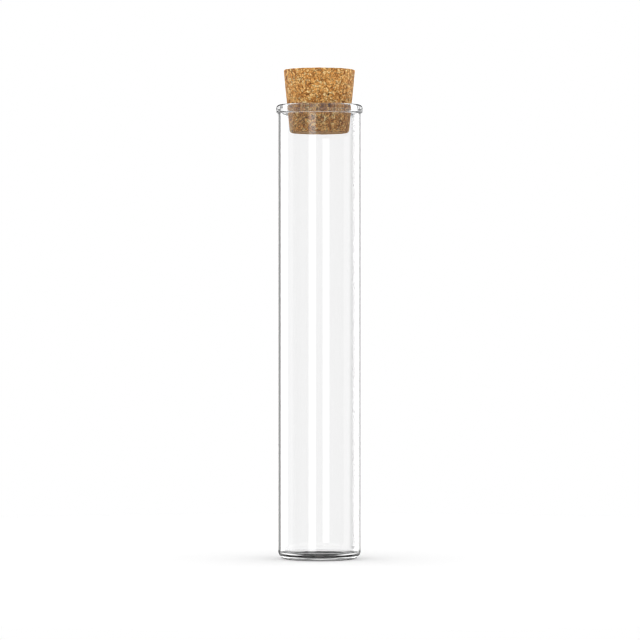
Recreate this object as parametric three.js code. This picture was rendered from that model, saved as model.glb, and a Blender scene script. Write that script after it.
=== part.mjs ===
// A flat-bottomed glass tube closed by a tapered cork stopper.
//
// Millimetres, +Z up. The origin is the centre of the base, so the tube stands on the plane z = 0
// and its axis is the Z axis. Both pieces are turned shapes, so each is one lathe profile.

import * as THREE from 'three';

// Tube
const TUBE_HEIGHT = 140;
const TUBE_RADIUS = 12.75;
const BORE_RADIUS = 11.9;
const FLOOR_THICKNESS = 2.2;
const HEEL_RADIUS = 2.5; // rounding where the wall meets the base, outside
const FLOOR_CORNER_RADIUS = 0.6; // rounding where the bore meets the floor, inside

// Thickened ring at the mouth: a bead outside, and a lip inside that the stopper seats in
const RING_HEIGHT = 2.6;
const BEAD_RADIUS = 13.3;
const BEAD_LOWER_ROUNDING = 0.45;
const BEAD_UPPER_ROUNDING = 1.1;
const MOUTH_RADIUS = 10.15;
const LIP_UPPER_ROUNDING = 0.5;
const LIP_LOWER_ROUNDING = 0.3;
const LIP_FILLET = 0.2; // where the underside of the lip meets the bore

// Stopper
const STOPPER_LENGTH = 19.5;
const STOPPER_TOP_RADIUS = 11.05;
const STOPPER_BOTTOM_RADIUS = 9.1;
const STOPPER_INSERTION = 8.7; // length below the plane of the mouth
const STOPPER_TOP_ROUNDING = 0.4;
const STOPPER_BOTTOM_ROUNDING = 1.0;

const AROUND = 64; // facets around the axis
const QUARTER = 90; // degrees

// Points of a circular arc in the (radius, height) plane, both ends included.
function arc(centreRadius, centreHeight, rounding, fromDegrees, toDegrees, steps) {
  const points = [];
  for (let i = 0; i <= steps; i += 1) {
    const angle = THREE.MathUtils.degToRad(fromDegrees + ((toDegrees - fromDegrees) * i) / steps);
    points.push(
      new THREE.Vector2(
        centreRadius + rounding * Math.cos(angle),
        centreHeight + rounding * Math.sin(angle),
      ),
    );
  }
  return points;
}

// A solid of revolution about +Z from a profile of (radius, height) points.
function turned(name, profile, material) {
  const geometry = new THREE.LatheGeometry(profile, AROUND);
  geometry.rotateX(Math.PI / 2);
  const mesh = new THREE.Mesh(geometry, material);
  mesh.name = name;
  return mesh;
}

// The tube's section: up the outside from the base, over the ring at the mouth, and down the bore
// to the floor.
function glassTube() {
  const ringBottom = TUBE_HEIGHT - RING_HEIGHT;
  const profile = [
    new THREE.Vector2(0, 0),
    ...arc(TUBE_RADIUS - HEEL_RADIUS, HEEL_RADIUS, HEEL_RADIUS, -QUARTER, 0, 6),
    new THREE.Vector2(TUBE_RADIUS, ringBottom),
    ...arc(
      BEAD_RADIUS - BEAD_LOWER_ROUNDING,
      ringBottom + BEAD_LOWER_ROUNDING,
      BEAD_LOWER_ROUNDING,
      -QUARTER,
      0,
      3,
    ),
    ...arc(
      BEAD_RADIUS - BEAD_UPPER_ROUNDING,
      TUBE_HEIGHT - BEAD_UPPER_ROUNDING,
      BEAD_UPPER_ROUNDING,
      0,
      QUARTER,
      5,
    ),
    ...arc(
      MOUTH_RADIUS + LIP_UPPER_ROUNDING,
      TUBE_HEIGHT - LIP_UPPER_ROUNDING,
      LIP_UPPER_ROUNDING,
      QUARTER,
      2 * QUARTER,
      5,
    ),
    ...arc(
      MOUTH_RADIUS + LIP_LOWER_ROUNDING,
      ringBottom + LIP_LOWER_ROUNDING,
      LIP_LOWER_ROUNDING,
      2 * QUARTER,
      3 * QUARTER,
      4,
    ),
    ...arc(BORE_RADIUS - LIP_FILLET, ringBottom - LIP_FILLET, LIP_FILLET, QUARTER, 0, 3),
    ...arc(
      BORE_RADIUS - FLOOR_CORNER_RADIUS,
      FLOOR_THICKNESS + FLOOR_CORNER_RADIUS,
      FLOOR_CORNER_RADIUS,
      0,
      -QUARTER,
      4,
    ),
    new THREE.Vector2(0, FLOOR_THICKNESS),
  ];
  const glass = new THREE.MeshStandardMaterial({
    color: 0xf6fafa,
    roughness: 0.02,
    metalness: 0,
    transparent: true,
    opacity: 0.3,
  });
  return turned('glass_tube', profile, glass);
}

// The stopper's section: a cone whose two edges are rounded, so that each rounding is tangent to
// the end face and to the sloping side.
function corkStopper() {
  const slope = (STOPPER_TOP_RADIUS - STOPPER_BOTTOM_RADIUS) / STOPPER_LENGTH;
  const tilt = THREE.MathUtils.radToDeg(Math.atan(slope));
  const bottom = TUBE_HEIGHT - STOPPER_INSERTION;
  const top = bottom + STOPPER_LENGTH;

  const rounded = (centreHeight, rounding, fromDegrees, toDegrees, steps) => {
    const sideRadius = STOPPER_BOTTOM_RADIUS + slope * (centreHeight - bottom);
    const centreRadius = sideRadius - rounding * Math.hypot(1, slope);
    return arc(centreRadius, centreHeight, rounding, fromDegrees, toDegrees, steps);
  };

  const profile = [
    new THREE.Vector2(0, bottom),
    ...rounded(bottom + STOPPER_BOTTOM_ROUNDING, STOPPER_BOTTOM_ROUNDING, -QUARTER, -tilt, 4),
    ...rounded(top - STOPPER_TOP_ROUNDING, STOPPER_TOP_ROUNDING, -tilt, QUARTER, 3),
    new THREE.Vector2(0, top),
  ];
  const cork = new THREE.MeshStandardMaterial({ color: 0xc08a4e, roughness: 0.85, metalness: 0 });
  return turned('cork_stopper', profile, cork);
}

const testTube = new THREE.Group();
testTube.name = 'test_tube';
testTube.add(glassTube());
testTube.add(corkStopper());

export default testTube;
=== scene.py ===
"""A flat-bottomed glass tube closed by a granulated cork stopper, on a white studio floor."""

import math
import random

import bpy
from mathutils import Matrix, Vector, kdtree, noise


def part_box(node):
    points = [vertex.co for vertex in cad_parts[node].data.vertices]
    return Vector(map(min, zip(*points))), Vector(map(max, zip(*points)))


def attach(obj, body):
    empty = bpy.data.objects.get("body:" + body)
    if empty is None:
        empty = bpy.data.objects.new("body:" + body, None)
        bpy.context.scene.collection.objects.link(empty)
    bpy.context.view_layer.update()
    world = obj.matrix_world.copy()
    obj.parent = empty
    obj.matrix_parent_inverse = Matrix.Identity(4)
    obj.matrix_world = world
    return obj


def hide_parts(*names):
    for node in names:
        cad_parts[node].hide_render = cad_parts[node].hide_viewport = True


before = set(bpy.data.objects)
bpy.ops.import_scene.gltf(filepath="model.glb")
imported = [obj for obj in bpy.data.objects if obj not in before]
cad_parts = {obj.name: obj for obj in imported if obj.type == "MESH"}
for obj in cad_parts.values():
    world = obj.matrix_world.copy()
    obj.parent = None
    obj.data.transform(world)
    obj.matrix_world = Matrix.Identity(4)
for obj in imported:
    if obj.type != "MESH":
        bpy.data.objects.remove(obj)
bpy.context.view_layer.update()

MM = 0.001

# Glass, in metres. The height and the bead's radius come from the CAD tube's box.
WALL_RADIUS = 12.75 * MM
BORE_RADIUS = 11.9 * MM
MOUTH_RADIUS = 10.15 * MM
FLOOR_THICKNESS = 2.2 * MM
HEEL_RADIUS = 2.5 * MM
FLOOR_CORNER_RADIUS = 0.6 * MM
RING_HEIGHT = 2.6 * MM
BEAD_FILLET = 0.25 * MM
BEAD_LOWER_ROUNDING = 0.45 * MM
BEAD_UPPER_ROUNDING = 1.1 * MM
LIP_UPPER_ROUNDING = 0.5 * MM
LIP_LOWER_ROUNDING = 0.3 * MM
LIP_FILLET = 0.2 * MM
GLASS_AROUND = 256
DRAW_LINE_DEPTH = 0.004 * MM
FILM_ROUGHNESS = 0.02
GLASS_BOUNCES = 6  # how many glass surfaces light may pass

# Cork. Its ends and its top radius come from the CAD stopper's box.
CORK_BOTTOM_RADIUS = 9.1 * MM
CORK_TOP_ROUNDING = 0.4 * MM
CORK_BOTTOM_ROUNDING = 1.0 * MM
CORK_MESH_STEP = 0.2 * MM
GRANULE_SIZE = 0.95 * MM
GRANULE_GAP = 0.16 * MM
GRANULE_RELIEF = 0.07 * MM
GRAIN_RELIEF = 0.02 * MM
GRAIN_SIZE = 0.35 * MM
PITS = 30
PIT_RADII = (0.2, 0.5)  # smallest and largest, in millimetres
PIT_RAGGEDNESS = 0.12 * MM
PIT_RAG_SIZE = 0.25 * MM
CORK_SEED = 7  # of the draws and of the noise, so that every run makes the same cork
GRANULE_SHARE = 0.28  # how much each kind of mark counts in the cork's tone
CHIP_SHARE = 0.4
STREAK_SHARE = 0.16
CRUMB_SHARE = 0.16
CHIPS_PER_MM = 2.1
CRUMBS_PER_MM = 6.0
SPECKS_PER_MM = 1.1
CORK_TONES = (
    (0.18, "8A521E"),
    (0.36, "CC873E"),
    (0.5, "ECA858"),
    (0.64, "FCC674"),
    (0.82, "FFE9AE"),
)
JOINT_COLOUR = "4E2C12"
# painted shade: the near-black laid into the pits' hollows
PIT_SHADE_COLOUR = "24150B"

# Camera: level, at mid height, with a long lens
CAMERA_DISTANCE = 1.08
CAMERA_HEIGHT = 73.65 * MM
CAMERA_SIDE = 0.2 * MM
CAMERA_LENS = 196.9
PIXEL_FILTER = 1.2  # pixels over which the picture is smoothed

# Studio. Turns are in degrees about Z: 0 is behind the object, and 90 is on its right.
# Heights are in degrees above the horizon. The panels stand in a low band round the object.
# Above the band are even light and a dark flag, and below it are even boards with dark gaps.
ROOM_LIGHT = 0.3
EVEN_LIGHT = 1.0
CEILING_LIGHT = 1.3
BOARD = 0.7  # the light that a white board adds to the room's
PANEL_EDGE = 6  # how far a panel's edge fades
PANELS = [
    # middle, half width, light added
    (-160, 10, 2.0),  # front left softbox
    (-80, 20, BOARD),  # left board
    (-50, 10, 2.5),  # back left softbox
    (-5, 12, BOARD),  # back board
    (20, 6, BOARD),  # back right board
    (50, 15, 3.0),  # back right softbox
]
BAND_TOP = 3.4
BAND_TOP_EDGE = 0.1
BAND_BOTTOM = -9
BAND_BOTTOM_EDGE = 2
LOW_PANELS = 8
LOW_GAP_EDGES = (-0.95, -0.6)  # on a wave that is -1 in the middle of each gap
LOW_GAP_LIGHT = 0.2
FLAG_LIGHT = 0.02
FLAG_EDGES = (14, 34)  # how far round the flag is fully dark, and where it ends
CEILING = 40  # how low the ceiling light reaches
CEILING_EDGE = 10
FLOOR_RADIUS = 0.25
FLOOR_DEPTH = 1.0 * MM  # the floor's middle is a thin solid disc
FLOOR_CLEARANCE = 0.02 * MM  # it lies just below the tube's base
FLOOR_WHITE = 0.95
FLOOR_AROUND = 96
CONTACT_RADIUS = 12.5 * MM  # a middle of the floor that the glass shows


# ---------------------------------------------------------------- meshes


def arc(centre, rounding, start, end, steps):
    """Points of an arc in the (radius, height) plane, from start to end in degrees."""
    angles = [math.radians(start + (end - start) * i / steps) for i in range(steps + 1)]
    return [
        (centre[0] + rounding * math.cos(a), centre[1] + rounding * math.sin(a)) for a in angles
    ]


def supported(profile, near=0.04 * MM, longest=0.6 * MM):
    """The profile with a point close to each end of every long straight stretch.

    They keep the smooth shading of a rounding from spreading along the straight wall beside it."""
    points = [profile[0]]
    for a, b in zip(profile, profile[1:]):
        length = math.dist(a, b)
        if length > longest:
            share = near / length
            for t in (share, 1 - share):
                points.append((a[0] + (b[0] - a[0]) * t, a[1] + (b[1] - a[1]) * t))
        points.append(b)
    return points


def circle(radius, height, around):
    """Points evenly round the Z axis."""
    turns = [2 * math.pi * k / around for k in range(around)]
    return [(radius * math.cos(turn), radius * math.sin(turn), height) for turn in turns]


def mesh_object(name, verts, faces):
    """A new object in the scene, with a mesh of those points and faces."""
    mesh = bpy.data.meshes.new(name)
    mesh.from_pydata(verts, [], faces)
    piece = bpy.data.objects.new(name, mesh)
    bpy.context.scene.collection.objects.link(piece)
    return piece


def turned(name, profile, around):
    """A smooth mesh object made by turning a profile about Z. It starts and ends on the axis."""
    first, *rings, last = profile
    verts = [(0, 0, first[1])]
    for radius, height in rings:
        verts += circle(radius, height, around)
    verts.append((0, 0, last[1]))

    def at(ring, k):
        return 1 + ring * around + k % around

    faces = [(0, at(0, k + 1), at(0, k)) for k in range(around)]
    for ring in range(len(rings) - 1):
        for k in range(around):
            faces.append((at(ring, k), at(ring, k + 1), at(ring + 1, k + 1), at(ring + 1, k)))
    top = len(verts) - 1
    faces += [(top, at(len(rings) - 1, k), at(len(rings) - 1, k + 1)) for k in range(around)]
    piece = mesh_object(name, verts, faces)
    piece.data.shade_smooth()
    piece.data.validate()
    return piece


def ring_plate(name, inner, outer, height, around):
    """A flat ring, facing up."""
    verts = circle(inner, height, around) + circle(outer, height, around)
    faces = []
    for k in range(around):
        after = (k + 1) % around
        faces.append((k, around + k, around + after, after))
    return mesh_object(name, verts, faces)


def evenly(profile, step):
    """The profile with its points spread evenly, about a step apart."""
    lengths = [math.dist(a, b) for a, b in zip(profile, profile[1:])]
    total = sum(lengths)
    count = round(total / step)
    points = []
    piece, start = 0, 0.0
    for i in range(count):
        along = total * i / count
        while along > start + lengths[piece]:
            start += lengths[piece]
            piece += 1
        share = (along - start) / lengths[piece]
        a, b = profile[piece], profile[piece + 1]
        points.append((a[0] + (b[0] - a[0]) * share, a[1] + (b[1] - a[1]) * share))
    return points + [profile[-1]]


def cork_profile(bottom, top, top_radius):
    """The stopper's section: a cone with its two edges rounded."""
    slope = (top_radius - CORK_BOTTOM_RADIUS) / (top - bottom)
    tilt = math.degrees(math.atan(slope))

    def rounded(height, rounding, start, end, steps):
        side = CORK_BOTTOM_RADIUS + slope * (height - bottom)
        return arc((side - rounding * math.hypot(1, slope), height), rounding, start, end, steps)

    return (
        [(0, bottom)]
        + rounded(bottom + CORK_BOTTOM_ROUNDING, CORK_BOTTOM_ROUNDING, -90, -tilt, 12)
        + rounded(top - CORK_TOP_ROUNDING, CORK_TOP_ROUNDING, -tilt, 90, 8)
        + [(0, top)]
    )


def fade(value, low, high):
    """0 below low, 1 above high, smooth between."""
    share = min(max((value - low) / (high - low), 0.0), 1.0)
    return share * share * (3 - 2 * share)


class Granules:
    """Chips of cork pressed together: random points in space, each owning what is nearest to it."""

    def __init__(self, low, high, draw):
        self.points = []
        self.tone = []
        self.lift = []
        self.size = []
        self.grain = []
        counts = [math.ceil((high[i] - low[i]) / GRANULE_SIZE) + 2 for i in range(3)]
        for ix in range(counts[0]):
            for iy in range(counts[1]):
                for iz in range(counts[2]):
                    cell = (ix - 0.5, iy - 0.5, iz - 0.5)
                    shifted = [cell[i] + draw.uniform(-0.48, 0.48) for i in range(3)]
                    place = [low[i] + shifted[i] * GRANULE_SIZE for i in range(3)]
                    self.points.append(Vector(place))
                    self.tone.append(draw.random())
                    self.lift.append(draw.uniform(-0.5, 0.5))
                    self.size.append(draw.uniform(0.0, 0.5) * GRANULE_SIZE)
                    grain = Vector((draw.gauss(0, 1), draw.gauss(0, 1), draw.gauss(0, 1)))
                    self.grain.append(grain.normalized())
        self.tree = kdtree.KDTree(len(self.points))
        for index, point in enumerate(self.points):
            self.tree.insert(point, index)
        self.tree.balance()

    def at(self, point):
        """The granule that owns a point, and how far the point is inside it."""
        bend = noise.noise_vector(point / (0.8 * MM)) * 0.22 * MM
        near = self.tree.find_n(point + bend, 6)
        ranked = sorted((distance - self.size[index], index) for _, index, distance in near)
        return ranked[0][1], ranked[1][0] - ranked[0][0]


def make_cork(low, high):
    """The stopper, with a raised chip for each granule, sunk joints between them and a few pits."""
    around = round(2 * math.pi * high.x / CORK_MESH_STEP)
    profile = evenly(cork_profile(low.z, high.z, high.x), CORK_MESH_STEP)
    cork = turned("cork_stopper_fine", profile, around)
    mesh = cork.data
    draw = random.Random(CORK_SEED)
    noise.seed_set(CORK_SEED)
    granules = Granules(low, high, draw)

    points = [vertex.co.copy() for vertex in mesh.vertices]
    normals = [normal.vector.copy() for normal in mesh.vertex_normals]
    pits = kdtree.KDTree(PITS)
    pit_sizes = []
    for index in range(PITS):
        pits.insert(points[draw.randrange(len(points))], index)
        pit_sizes.append(draw.uniform(*PIT_RADII) * MM)
    pits.balance()

    tones, gaps, hollows, grains = [], [], [], []
    for vertex, point, normal in zip(mesh.vertices, points, normals):
        owner, inside = granules.at(point)
        gap = 1 - fade(inside, 0.0, GRANULE_GAP)
        _, pit, away = pits.find(point)
        ragged = PIT_RAGGEDNESS * noise.noise(point / PIT_RAG_SIZE)
        hollow = 1 - fade(away + ragged, 0.3 * pit_sizes[pit], pit_sizes[pit])
        height = GRANULE_RELIEF * (granules.lift[owner] - 0.9 * gap)
        height += GRAIN_RELIEF * noise.noise(point / GRAIN_SIZE)
        height -= 0.9 * hollow * pit_sizes[pit]
        vertex.co = point + normal * height
        tones.append(granules.tone[owner])
        gaps.append(gap)
        hollows.append(hollow)
        grains.extend(granules.grain[owner])

    for name, kind, values in (
        ("tone", "value", tones),
        ("gap", "value", gaps),
        ("hollow", "value", hollows),
        ("grain", "vector", grains),
    ):
        data_type = "FLOAT_VECTOR" if kind == "vector" else "FLOAT"
        mesh.attributes.new(name, data_type, "POINT").data.foreach_set(kind, values)
    mesh.update()
    return cork


def glass_profile(height, bead_radius):
    """The tube's section, up the outside from the base, over the bead and down the bore."""
    ring_bottom = height - RING_HEIGHT
    heel = (WALL_RADIUS - HEEL_RADIUS, HEEL_RADIUS)
    fillet = (WALL_RADIUS + BEAD_FILLET, ring_bottom - BEAD_FILLET)
    bead_lower = (bead_radius - BEAD_LOWER_ROUNDING, ring_bottom + BEAD_LOWER_ROUNDING)
    bead_upper = (bead_radius - BEAD_UPPER_ROUNDING, height - BEAD_UPPER_ROUNDING)
    lip_upper = (MOUTH_RADIUS + LIP_UPPER_ROUNDING, height - LIP_UPPER_ROUNDING)
    lip_lower = (MOUTH_RADIUS + LIP_LOWER_ROUNDING, ring_bottom + LIP_LOWER_ROUNDING)
    lip_fillet = (BORE_RADIUS - LIP_FILLET, ring_bottom - LIP_FILLET)
    corner = (BORE_RADIUS - FLOOR_CORNER_RADIUS, FLOOR_THICKNESS + FLOOR_CORNER_RADIUS)
    return supported(
        [(0, 0)]
        + arc(heel, HEEL_RADIUS, -90, 0, 20)
        + arc(fillet, BEAD_FILLET, 180, 90, 6)
        + arc(bead_lower, BEAD_LOWER_ROUNDING, -90, 0, 10)
        + arc(bead_upper, BEAD_UPPER_ROUNDING, 0, 90, 14)
        + arc(lip_upper, LIP_UPPER_ROUNDING, 90, 180, 14)
        + arc(lip_lower, LIP_LOWER_ROUNDING, 180, 270, 12)
        + arc(lip_fillet, LIP_FILLET, 90, 0, 8)
        + arc(corner, FLOOR_CORNER_RADIUS, 0, -90, 14)
        + [(0, FLOOR_THICKNESS)]
    )


# ---------------------------------------------------------------- materials


class Nodes:
    """A node tree with short calls for adding and joining nodes."""

    def __init__(self, owner):
        owner.use_nodes = True
        self.tree = owner.node_tree
        self.tree.nodes.clear()

    def add(self, kind, settings=None, **inputs):
        """A node of that kind. An input is a value or a socket, and _ stands for a space."""
        node = self.tree.nodes.new(kind)
        for key, value in (settings or {}).items():
            setattr(node, key, value)
        for key, value in inputs.items():
            self.put(node.inputs[key.replace("_", " ")], value)
        return node

    def put(self, socket, value):
        if isinstance(value, bpy.types.NodeSocket):
            self.tree.links.new(value, socket)
        else:
            socket.default_value = value

    def math(self, operation, *values):
        node = self.tree.nodes.new("ShaderNodeMath")
        node.operation = operation
        for socket, value in zip(node.inputs, values):
            self.put(socket, value)
        return node.outputs[0]

    def blend(self, share, first, second):
        """first where share is 0 and second where it is 1."""
        node = self.add("ShaderNodeMix")
        for socket, value in zip(node.inputs, (share, None, first, second)):
            if value is not None:
                self.put(socket, value)
        return node.outputs[0]

    def smooth(self, value, low, high, to_low=0.0, to_high=1.0):
        """value taken smoothly from low..high to to_low..to_high."""
        node = self.add("ShaderNodeMapRange", {"interpolation_type": "SMOOTHSTEP"})
        for key, number in zip(node.inputs, (value, low, high, to_low, to_high)):
            self.put(key, number)
        return node.outputs[0]

    def edge(self, value, middle, width, before=0.0, after=1.0):
        """A smooth step from before to after, of that width, about middle."""
        return self.smooth(value, middle - width / 2, middle + width / 2, before, after)


def clear_glass():
    """Drawn glass: clear, with faint draw lines up its length and a trace of film on its surface."""
    material = bpy.data.materials.new("clear_glass")
    nodes = Nodes(material)
    place = nodes.add("ShaderNodeTexCoord").outputs["Object"]
    stretched = nodes.add("ShaderNodeMapping", Vector=place, Scale=(1 / MM, 1 / MM, 0.02 / MM))
    stretched = stretched.outputs["Vector"]
    lines = nodes.add("ShaderNodeTexNoise", Vector=stretched, Scale=0.5, Detail=2.0)
    film = nodes.add("ShaderNodeTexNoise", Vector=place, Scale=0.12 / MM, Detail=4.0, Roughness=0.6)
    bump = nodes.add(
        "ShaderNodeBump", Strength=1.0, Distance=DRAW_LINE_DEPTH, Height=lines.outputs["Fac"]
    )
    shader = nodes.add(
        "ShaderNodeBsdfPrincipled",
        Base_Color=(1.0, 1.0, 1.0, 1.0),
        Roughness=nodes.smooth(film.outputs["Fac"], 0.45, 0.75, 0.0, FILM_ROUGHNESS),
        IOR=1.5,
        Transmission_Weight=1.0,
        Normal=bump.outputs["Normal"],
    )
    nodes.add("ShaderNodeOutputMaterial", Surface=shader.outputs[0])
    return material


def ramp(nodes, value, stops):
    """A colour ramp over stops of (place, sRGB hex colour)."""
    node = nodes.add("ShaderNodeValToRGB", Fac=value)
    elements = node.color_ramp.elements
    while len(elements) < len(stops):
        elements.new(0.5)
    for element, (place, colour) in zip(elements, stops):
        element.position = place
        element.color = (*srgb(colour), 1.0)
    return node.outputs["Color"]


def srgb(colour):
    """Linear red, green and blue of a colour written as RRGGBB."""
    parts = [int(colour[i : i + 2], 16) / 255 for i in (0, 2, 4)]
    return [c / 12.92 if c <= 0.04045 else ((c + 0.055) / 1.055) ** 2.4 for c in parts]


def cork_material():
    """Pressed cork: chips of many tones with their own grain, dark joints, specks, and pits darkened
    with painted shade.
    """
    material = bpy.data.materials.new("cork")
    nodes = Nodes(material)

    def attribute(name, output="Fac"):
        return nodes.add("ShaderNodeAttribute", {"attribute_name": name}).outputs[output]

    place = nodes.add("ShaderNodeTexCoord").outputs["Object"]
    in_mm = nodes.add("ShaderNodeVectorMath", {"operation": "SCALE"}, Vector=place, Scale=1 / MM)
    in_mm = in_mm.outputs["Vector"]
    wobble = nodes.add("ShaderNodeTexNoise", Vector=in_mm, Scale=2.4, Detail=2.0)
    bent = nodes.add(
        "ShaderNodeVectorMath", {"operation": "MULTIPLY_ADD"}, Vector=wobble.outputs["Color"]
    )
    nodes.put(bent.inputs[1], (0.35, 0.35, 0.35))
    nodes.put(bent.inputs[2], in_mm)
    bent = bent.outputs["Vector"]

    tone, gap, hollow = attribute("tone"), attribute("gap"), attribute("hollow")
    chips = nodes.add("ShaderNodeTexVoronoi", Vector=bent, Scale=CHIPS_PER_MM)
    chip_tone = nodes.add("ShaderNodeSeparateColor", Color=chips.outputs["Color"]).outputs["Red"]
    chip_edge = nodes.add(
        "ShaderNodeTexVoronoi", {"feature": "DISTANCE_TO_EDGE"}, Vector=bent, Scale=CHIPS_PER_MM
    )
    crumbs = nodes.add(
        "ShaderNodeTexNoise", Vector=in_mm, Scale=CRUMBS_PER_MM, Detail=3.0, Roughness=0.65
    )

    along = nodes.add("ShaderNodeVectorMath", {"operation": "DOT_PRODUCT"}, Vector=bent)
    nodes.put(along.inputs[1], attribute("grain", "Vector"))
    own_start = nodes.math("MULTIPLY", tone, 40.0)
    phase = nodes.math("MULTIPLY_ADD", along.outputs["Value"], 3.2, own_start)
    streaks = nodes.add(
        "ShaderNodeTexNoise", {"noise_dimensions": "1D"}, W=phase, Scale=1.0, Detail=2.0
    )

    streak = nodes.smooth(streaks.outputs["Fac"], 0.3, 0.7)
    crumb = nodes.smooth(crumbs.outputs["Fac"], 0.3, 0.7)
    mix = nodes.math("MULTIPLY", tone, GRANULE_SHARE)
    mix = nodes.math("MULTIPLY_ADD", chip_tone, CHIP_SHARE, mix)
    mix = nodes.math("MULTIPLY_ADD", streak, STREAK_SHARE, mix)
    mix = nodes.math("MULTIPLY_ADD", crumb, CRUMB_SHARE, mix)
    colour = ramp(nodes, mix, CORK_TONES)

    edge = nodes.math("SUBTRACT", 1.0, nodes.smooth(chip_edge.outputs["Distance"], 0.0, 0.1))
    joint = nodes.math("MAXIMUM", nodes.math("MULTIPLY", gap, 0.85), nodes.math("MULTIPLY", edge, 0.6))
    specks = nodes.add("ShaderNodeTexVoronoi", Vector=bent, Scale=SPECKS_PER_MM)
    speck_draw = nodes.add("ShaderNodeSeparateColor", Color=specks.outputs["Color"]).outputs["Green"]
    speck = nodes.math("SUBTRACT", 1.0, nodes.smooth(specks.outputs["Distance"], 0.16, 0.34))
    speck = nodes.math("MULTIPLY", speck, nodes.smooth(speck_draw, 0.78, 0.82))
    joint = nodes.math("MAXIMUM", joint, nodes.math("MULTIPLY", speck, 0.8))

    def mixed(share, first, second):
        node = nodes.add("ShaderNodeMix", {"data_type": "RGBA"})
        for index, value in ((0, share), (6, first), (7, second)):
            nodes.put(node.inputs[index], value)
        return node.outputs[2]

    colour = mixed(joint, colour, (*srgb(JOINT_COLOUR), 1.0))
    # painted shade: the sunk pits are darkened near-black
    colour = mixed(nodes.math("MULTIPLY", hollow, 0.92), colour, (*srgb(PIT_SHADE_COLOUR), 1.0))

    rough = nodes.smooth(crumbs.outputs["Fac"], 0.3, 0.7, 0.68, 0.9)
    rough = nodes.math("MAXIMUM", rough, nodes.math("MULTIPLY", joint, 0.95))
    height = nodes.math("MULTIPLY", crumbs.outputs["Fac"], 0.6)
    height = nodes.math("MULTIPLY_ADD", streaks.outputs["Fac"], 0.35, height)
    height = nodes.math("SUBTRACT", height, nodes.math("MULTIPLY", joint, 0.6))
    bump = nodes.add("ShaderNodeBump", Strength=0.6, Distance=0.06 * MM, Height=height)
    shader = nodes.add(
        "ShaderNodeBsdfPrincipled",
        Base_Color=colour,
        Roughness=rough,
        Specular_IOR_Level=0.3,
        Sheen_Weight=0.08,
        Normal=bump.outputs["Normal"],
    )
    nodes.add("ShaderNodeOutputMaterial", Surface=shader.outputs[0])
    return material


# ---------------------------------------------------------------- studio


def make_camera():
    data = bpy.data.cameras.new("camera")
    data.lens = CAMERA_LENS
    data.sensor_width = 36.0
    data.clip_start = 0.01
    data.clip_end = 50.0
    camera = bpy.data.objects.new("camera", data)
    camera.location = (CAMERA_SIDE, -CAMERA_DISTANCE, CAMERA_HEIGHT)
    camera.rotation_euler = (math.radians(90), 0, 0)
    bpy.context.scene.collection.objects.link(camera)
    bpy.context.scene.camera = camera


def make_world():
    """The camera sees plain white, and panels, boards, a flag and a ceiling light the object."""
    world = bpy.data.worlds.new("studio")
    bpy.context.scene.world = world
    nodes = Nodes(world)
    direction = nodes.add("ShaderNodeTexCoord").outputs["Generated"]
    split = nodes.add("ShaderNodeSeparateXYZ", Vector=direction)
    turn = nodes.math("DEGREES", nodes.math("ARCTAN2", split.outputs["X"], split.outputs["Y"]))
    height = nodes.math("DEGREES", nodes.math("ARCSINE", split.outputs["Z"]))

    band = ROOM_LIGHT
    for middle, half_width, light in PANELS:
        away = nodes.math("WRAP", nodes.math("SUBTRACT", turn, middle), 180.0, -180.0)
        away = nodes.math("ABSOLUTE", away)
        panel = nodes.edge(away, half_width, PANEL_EDGE, light, 0.0)
        band = nodes.math("ADD", band, panel)

    flag = nodes.smooth(nodes.math("ABSOLUTE", turn), *FLAG_EDGES, FLAG_LIGHT, EVEN_LIGHT)
    wave = nodes.math("COSINE", nodes.math("MULTIPLY", turn, math.radians(LOW_PANELS)))
    low = nodes.smooth(wave, *LOW_GAP_EDGES, LOW_GAP_LIGHT, EVEN_LIGHT)
    light = nodes.blend(nodes.edge(height, BAND_BOTTOM, BAND_BOTTOM_EDGE), low, band)
    light = nodes.blend(nodes.edge(height, BAND_TOP, BAND_TOP_EDGE), light, flag)
    light = nodes.blend(nodes.edge(height, CEILING, CEILING_EDGE), light, CEILING_LIGHT)
    seen = nodes.add("ShaderNodeLightPath").outputs["Is Camera Ray"]
    background = nodes.add(
        "ShaderNodeBackground", Color=(1, 1, 1, 1), Strength=nodes.blend(seen, light, 1.0)
    )
    nodes.add("ShaderNodeOutputWorld", Surface=background.outputs[0])


def floor_material():
    material = bpy.data.materials.new("floor")
    nodes = Nodes(material)
    shader = nodes.add("ShaderNodeBsdfDiffuse", Color=(FLOOR_WHITE,) * 3 + (1.0,))
    nodes.add("ShaderNodeOutputMaterial", Surface=shader.outputs[0])
    return material


def make_floor():
    """A white sweep that doesn't show in the glass, with a middle under the tube that does."""
    white = floor_material()
    low, high = -FLOOR_DEPTH, -FLOOR_CLEARANCE
    section = [(0, low), (CONTACT_RADIUS, low), (CONTACT_RADIUS, high), (0, high)]
    middle = turned("floor_middle", section, FLOOR_AROUND)
    sweep = ring_plate("floor", CONTACT_RADIUS, FLOOR_RADIUS, high, FLOOR_AROUND)
    sweep.visible_transmission = False
    sweep.visible_glossy = False
    for piece in (middle, sweep):
        piece.data.materials.append(white)


make_camera()
make_world()
make_floor()

# ---------------------------------------------------------------- the object

tube_low, tube_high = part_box("glass_tube")
tube = turned("glass_tube_fine", glass_profile(tube_high.z, tube_high.x), GLASS_AROUND)
tube.data.materials.append(clear_glass())
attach(tube, "tube")
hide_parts("glass_tube")

cork_low, cork_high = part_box("cork_stopper")
cork = make_cork(cork_low, cork_high)
cork.data.materials.append(cork_material())
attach(cork, "stopper")
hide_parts("cork_stopper")

bpy.context.scene.view_settings.view_transform = "Standard"
bpy.context.scene.cycles.transmission_bounces = GLASS_BOUNCES
bpy.context.scene.cycles.filter_width = PIXEL_FILTER
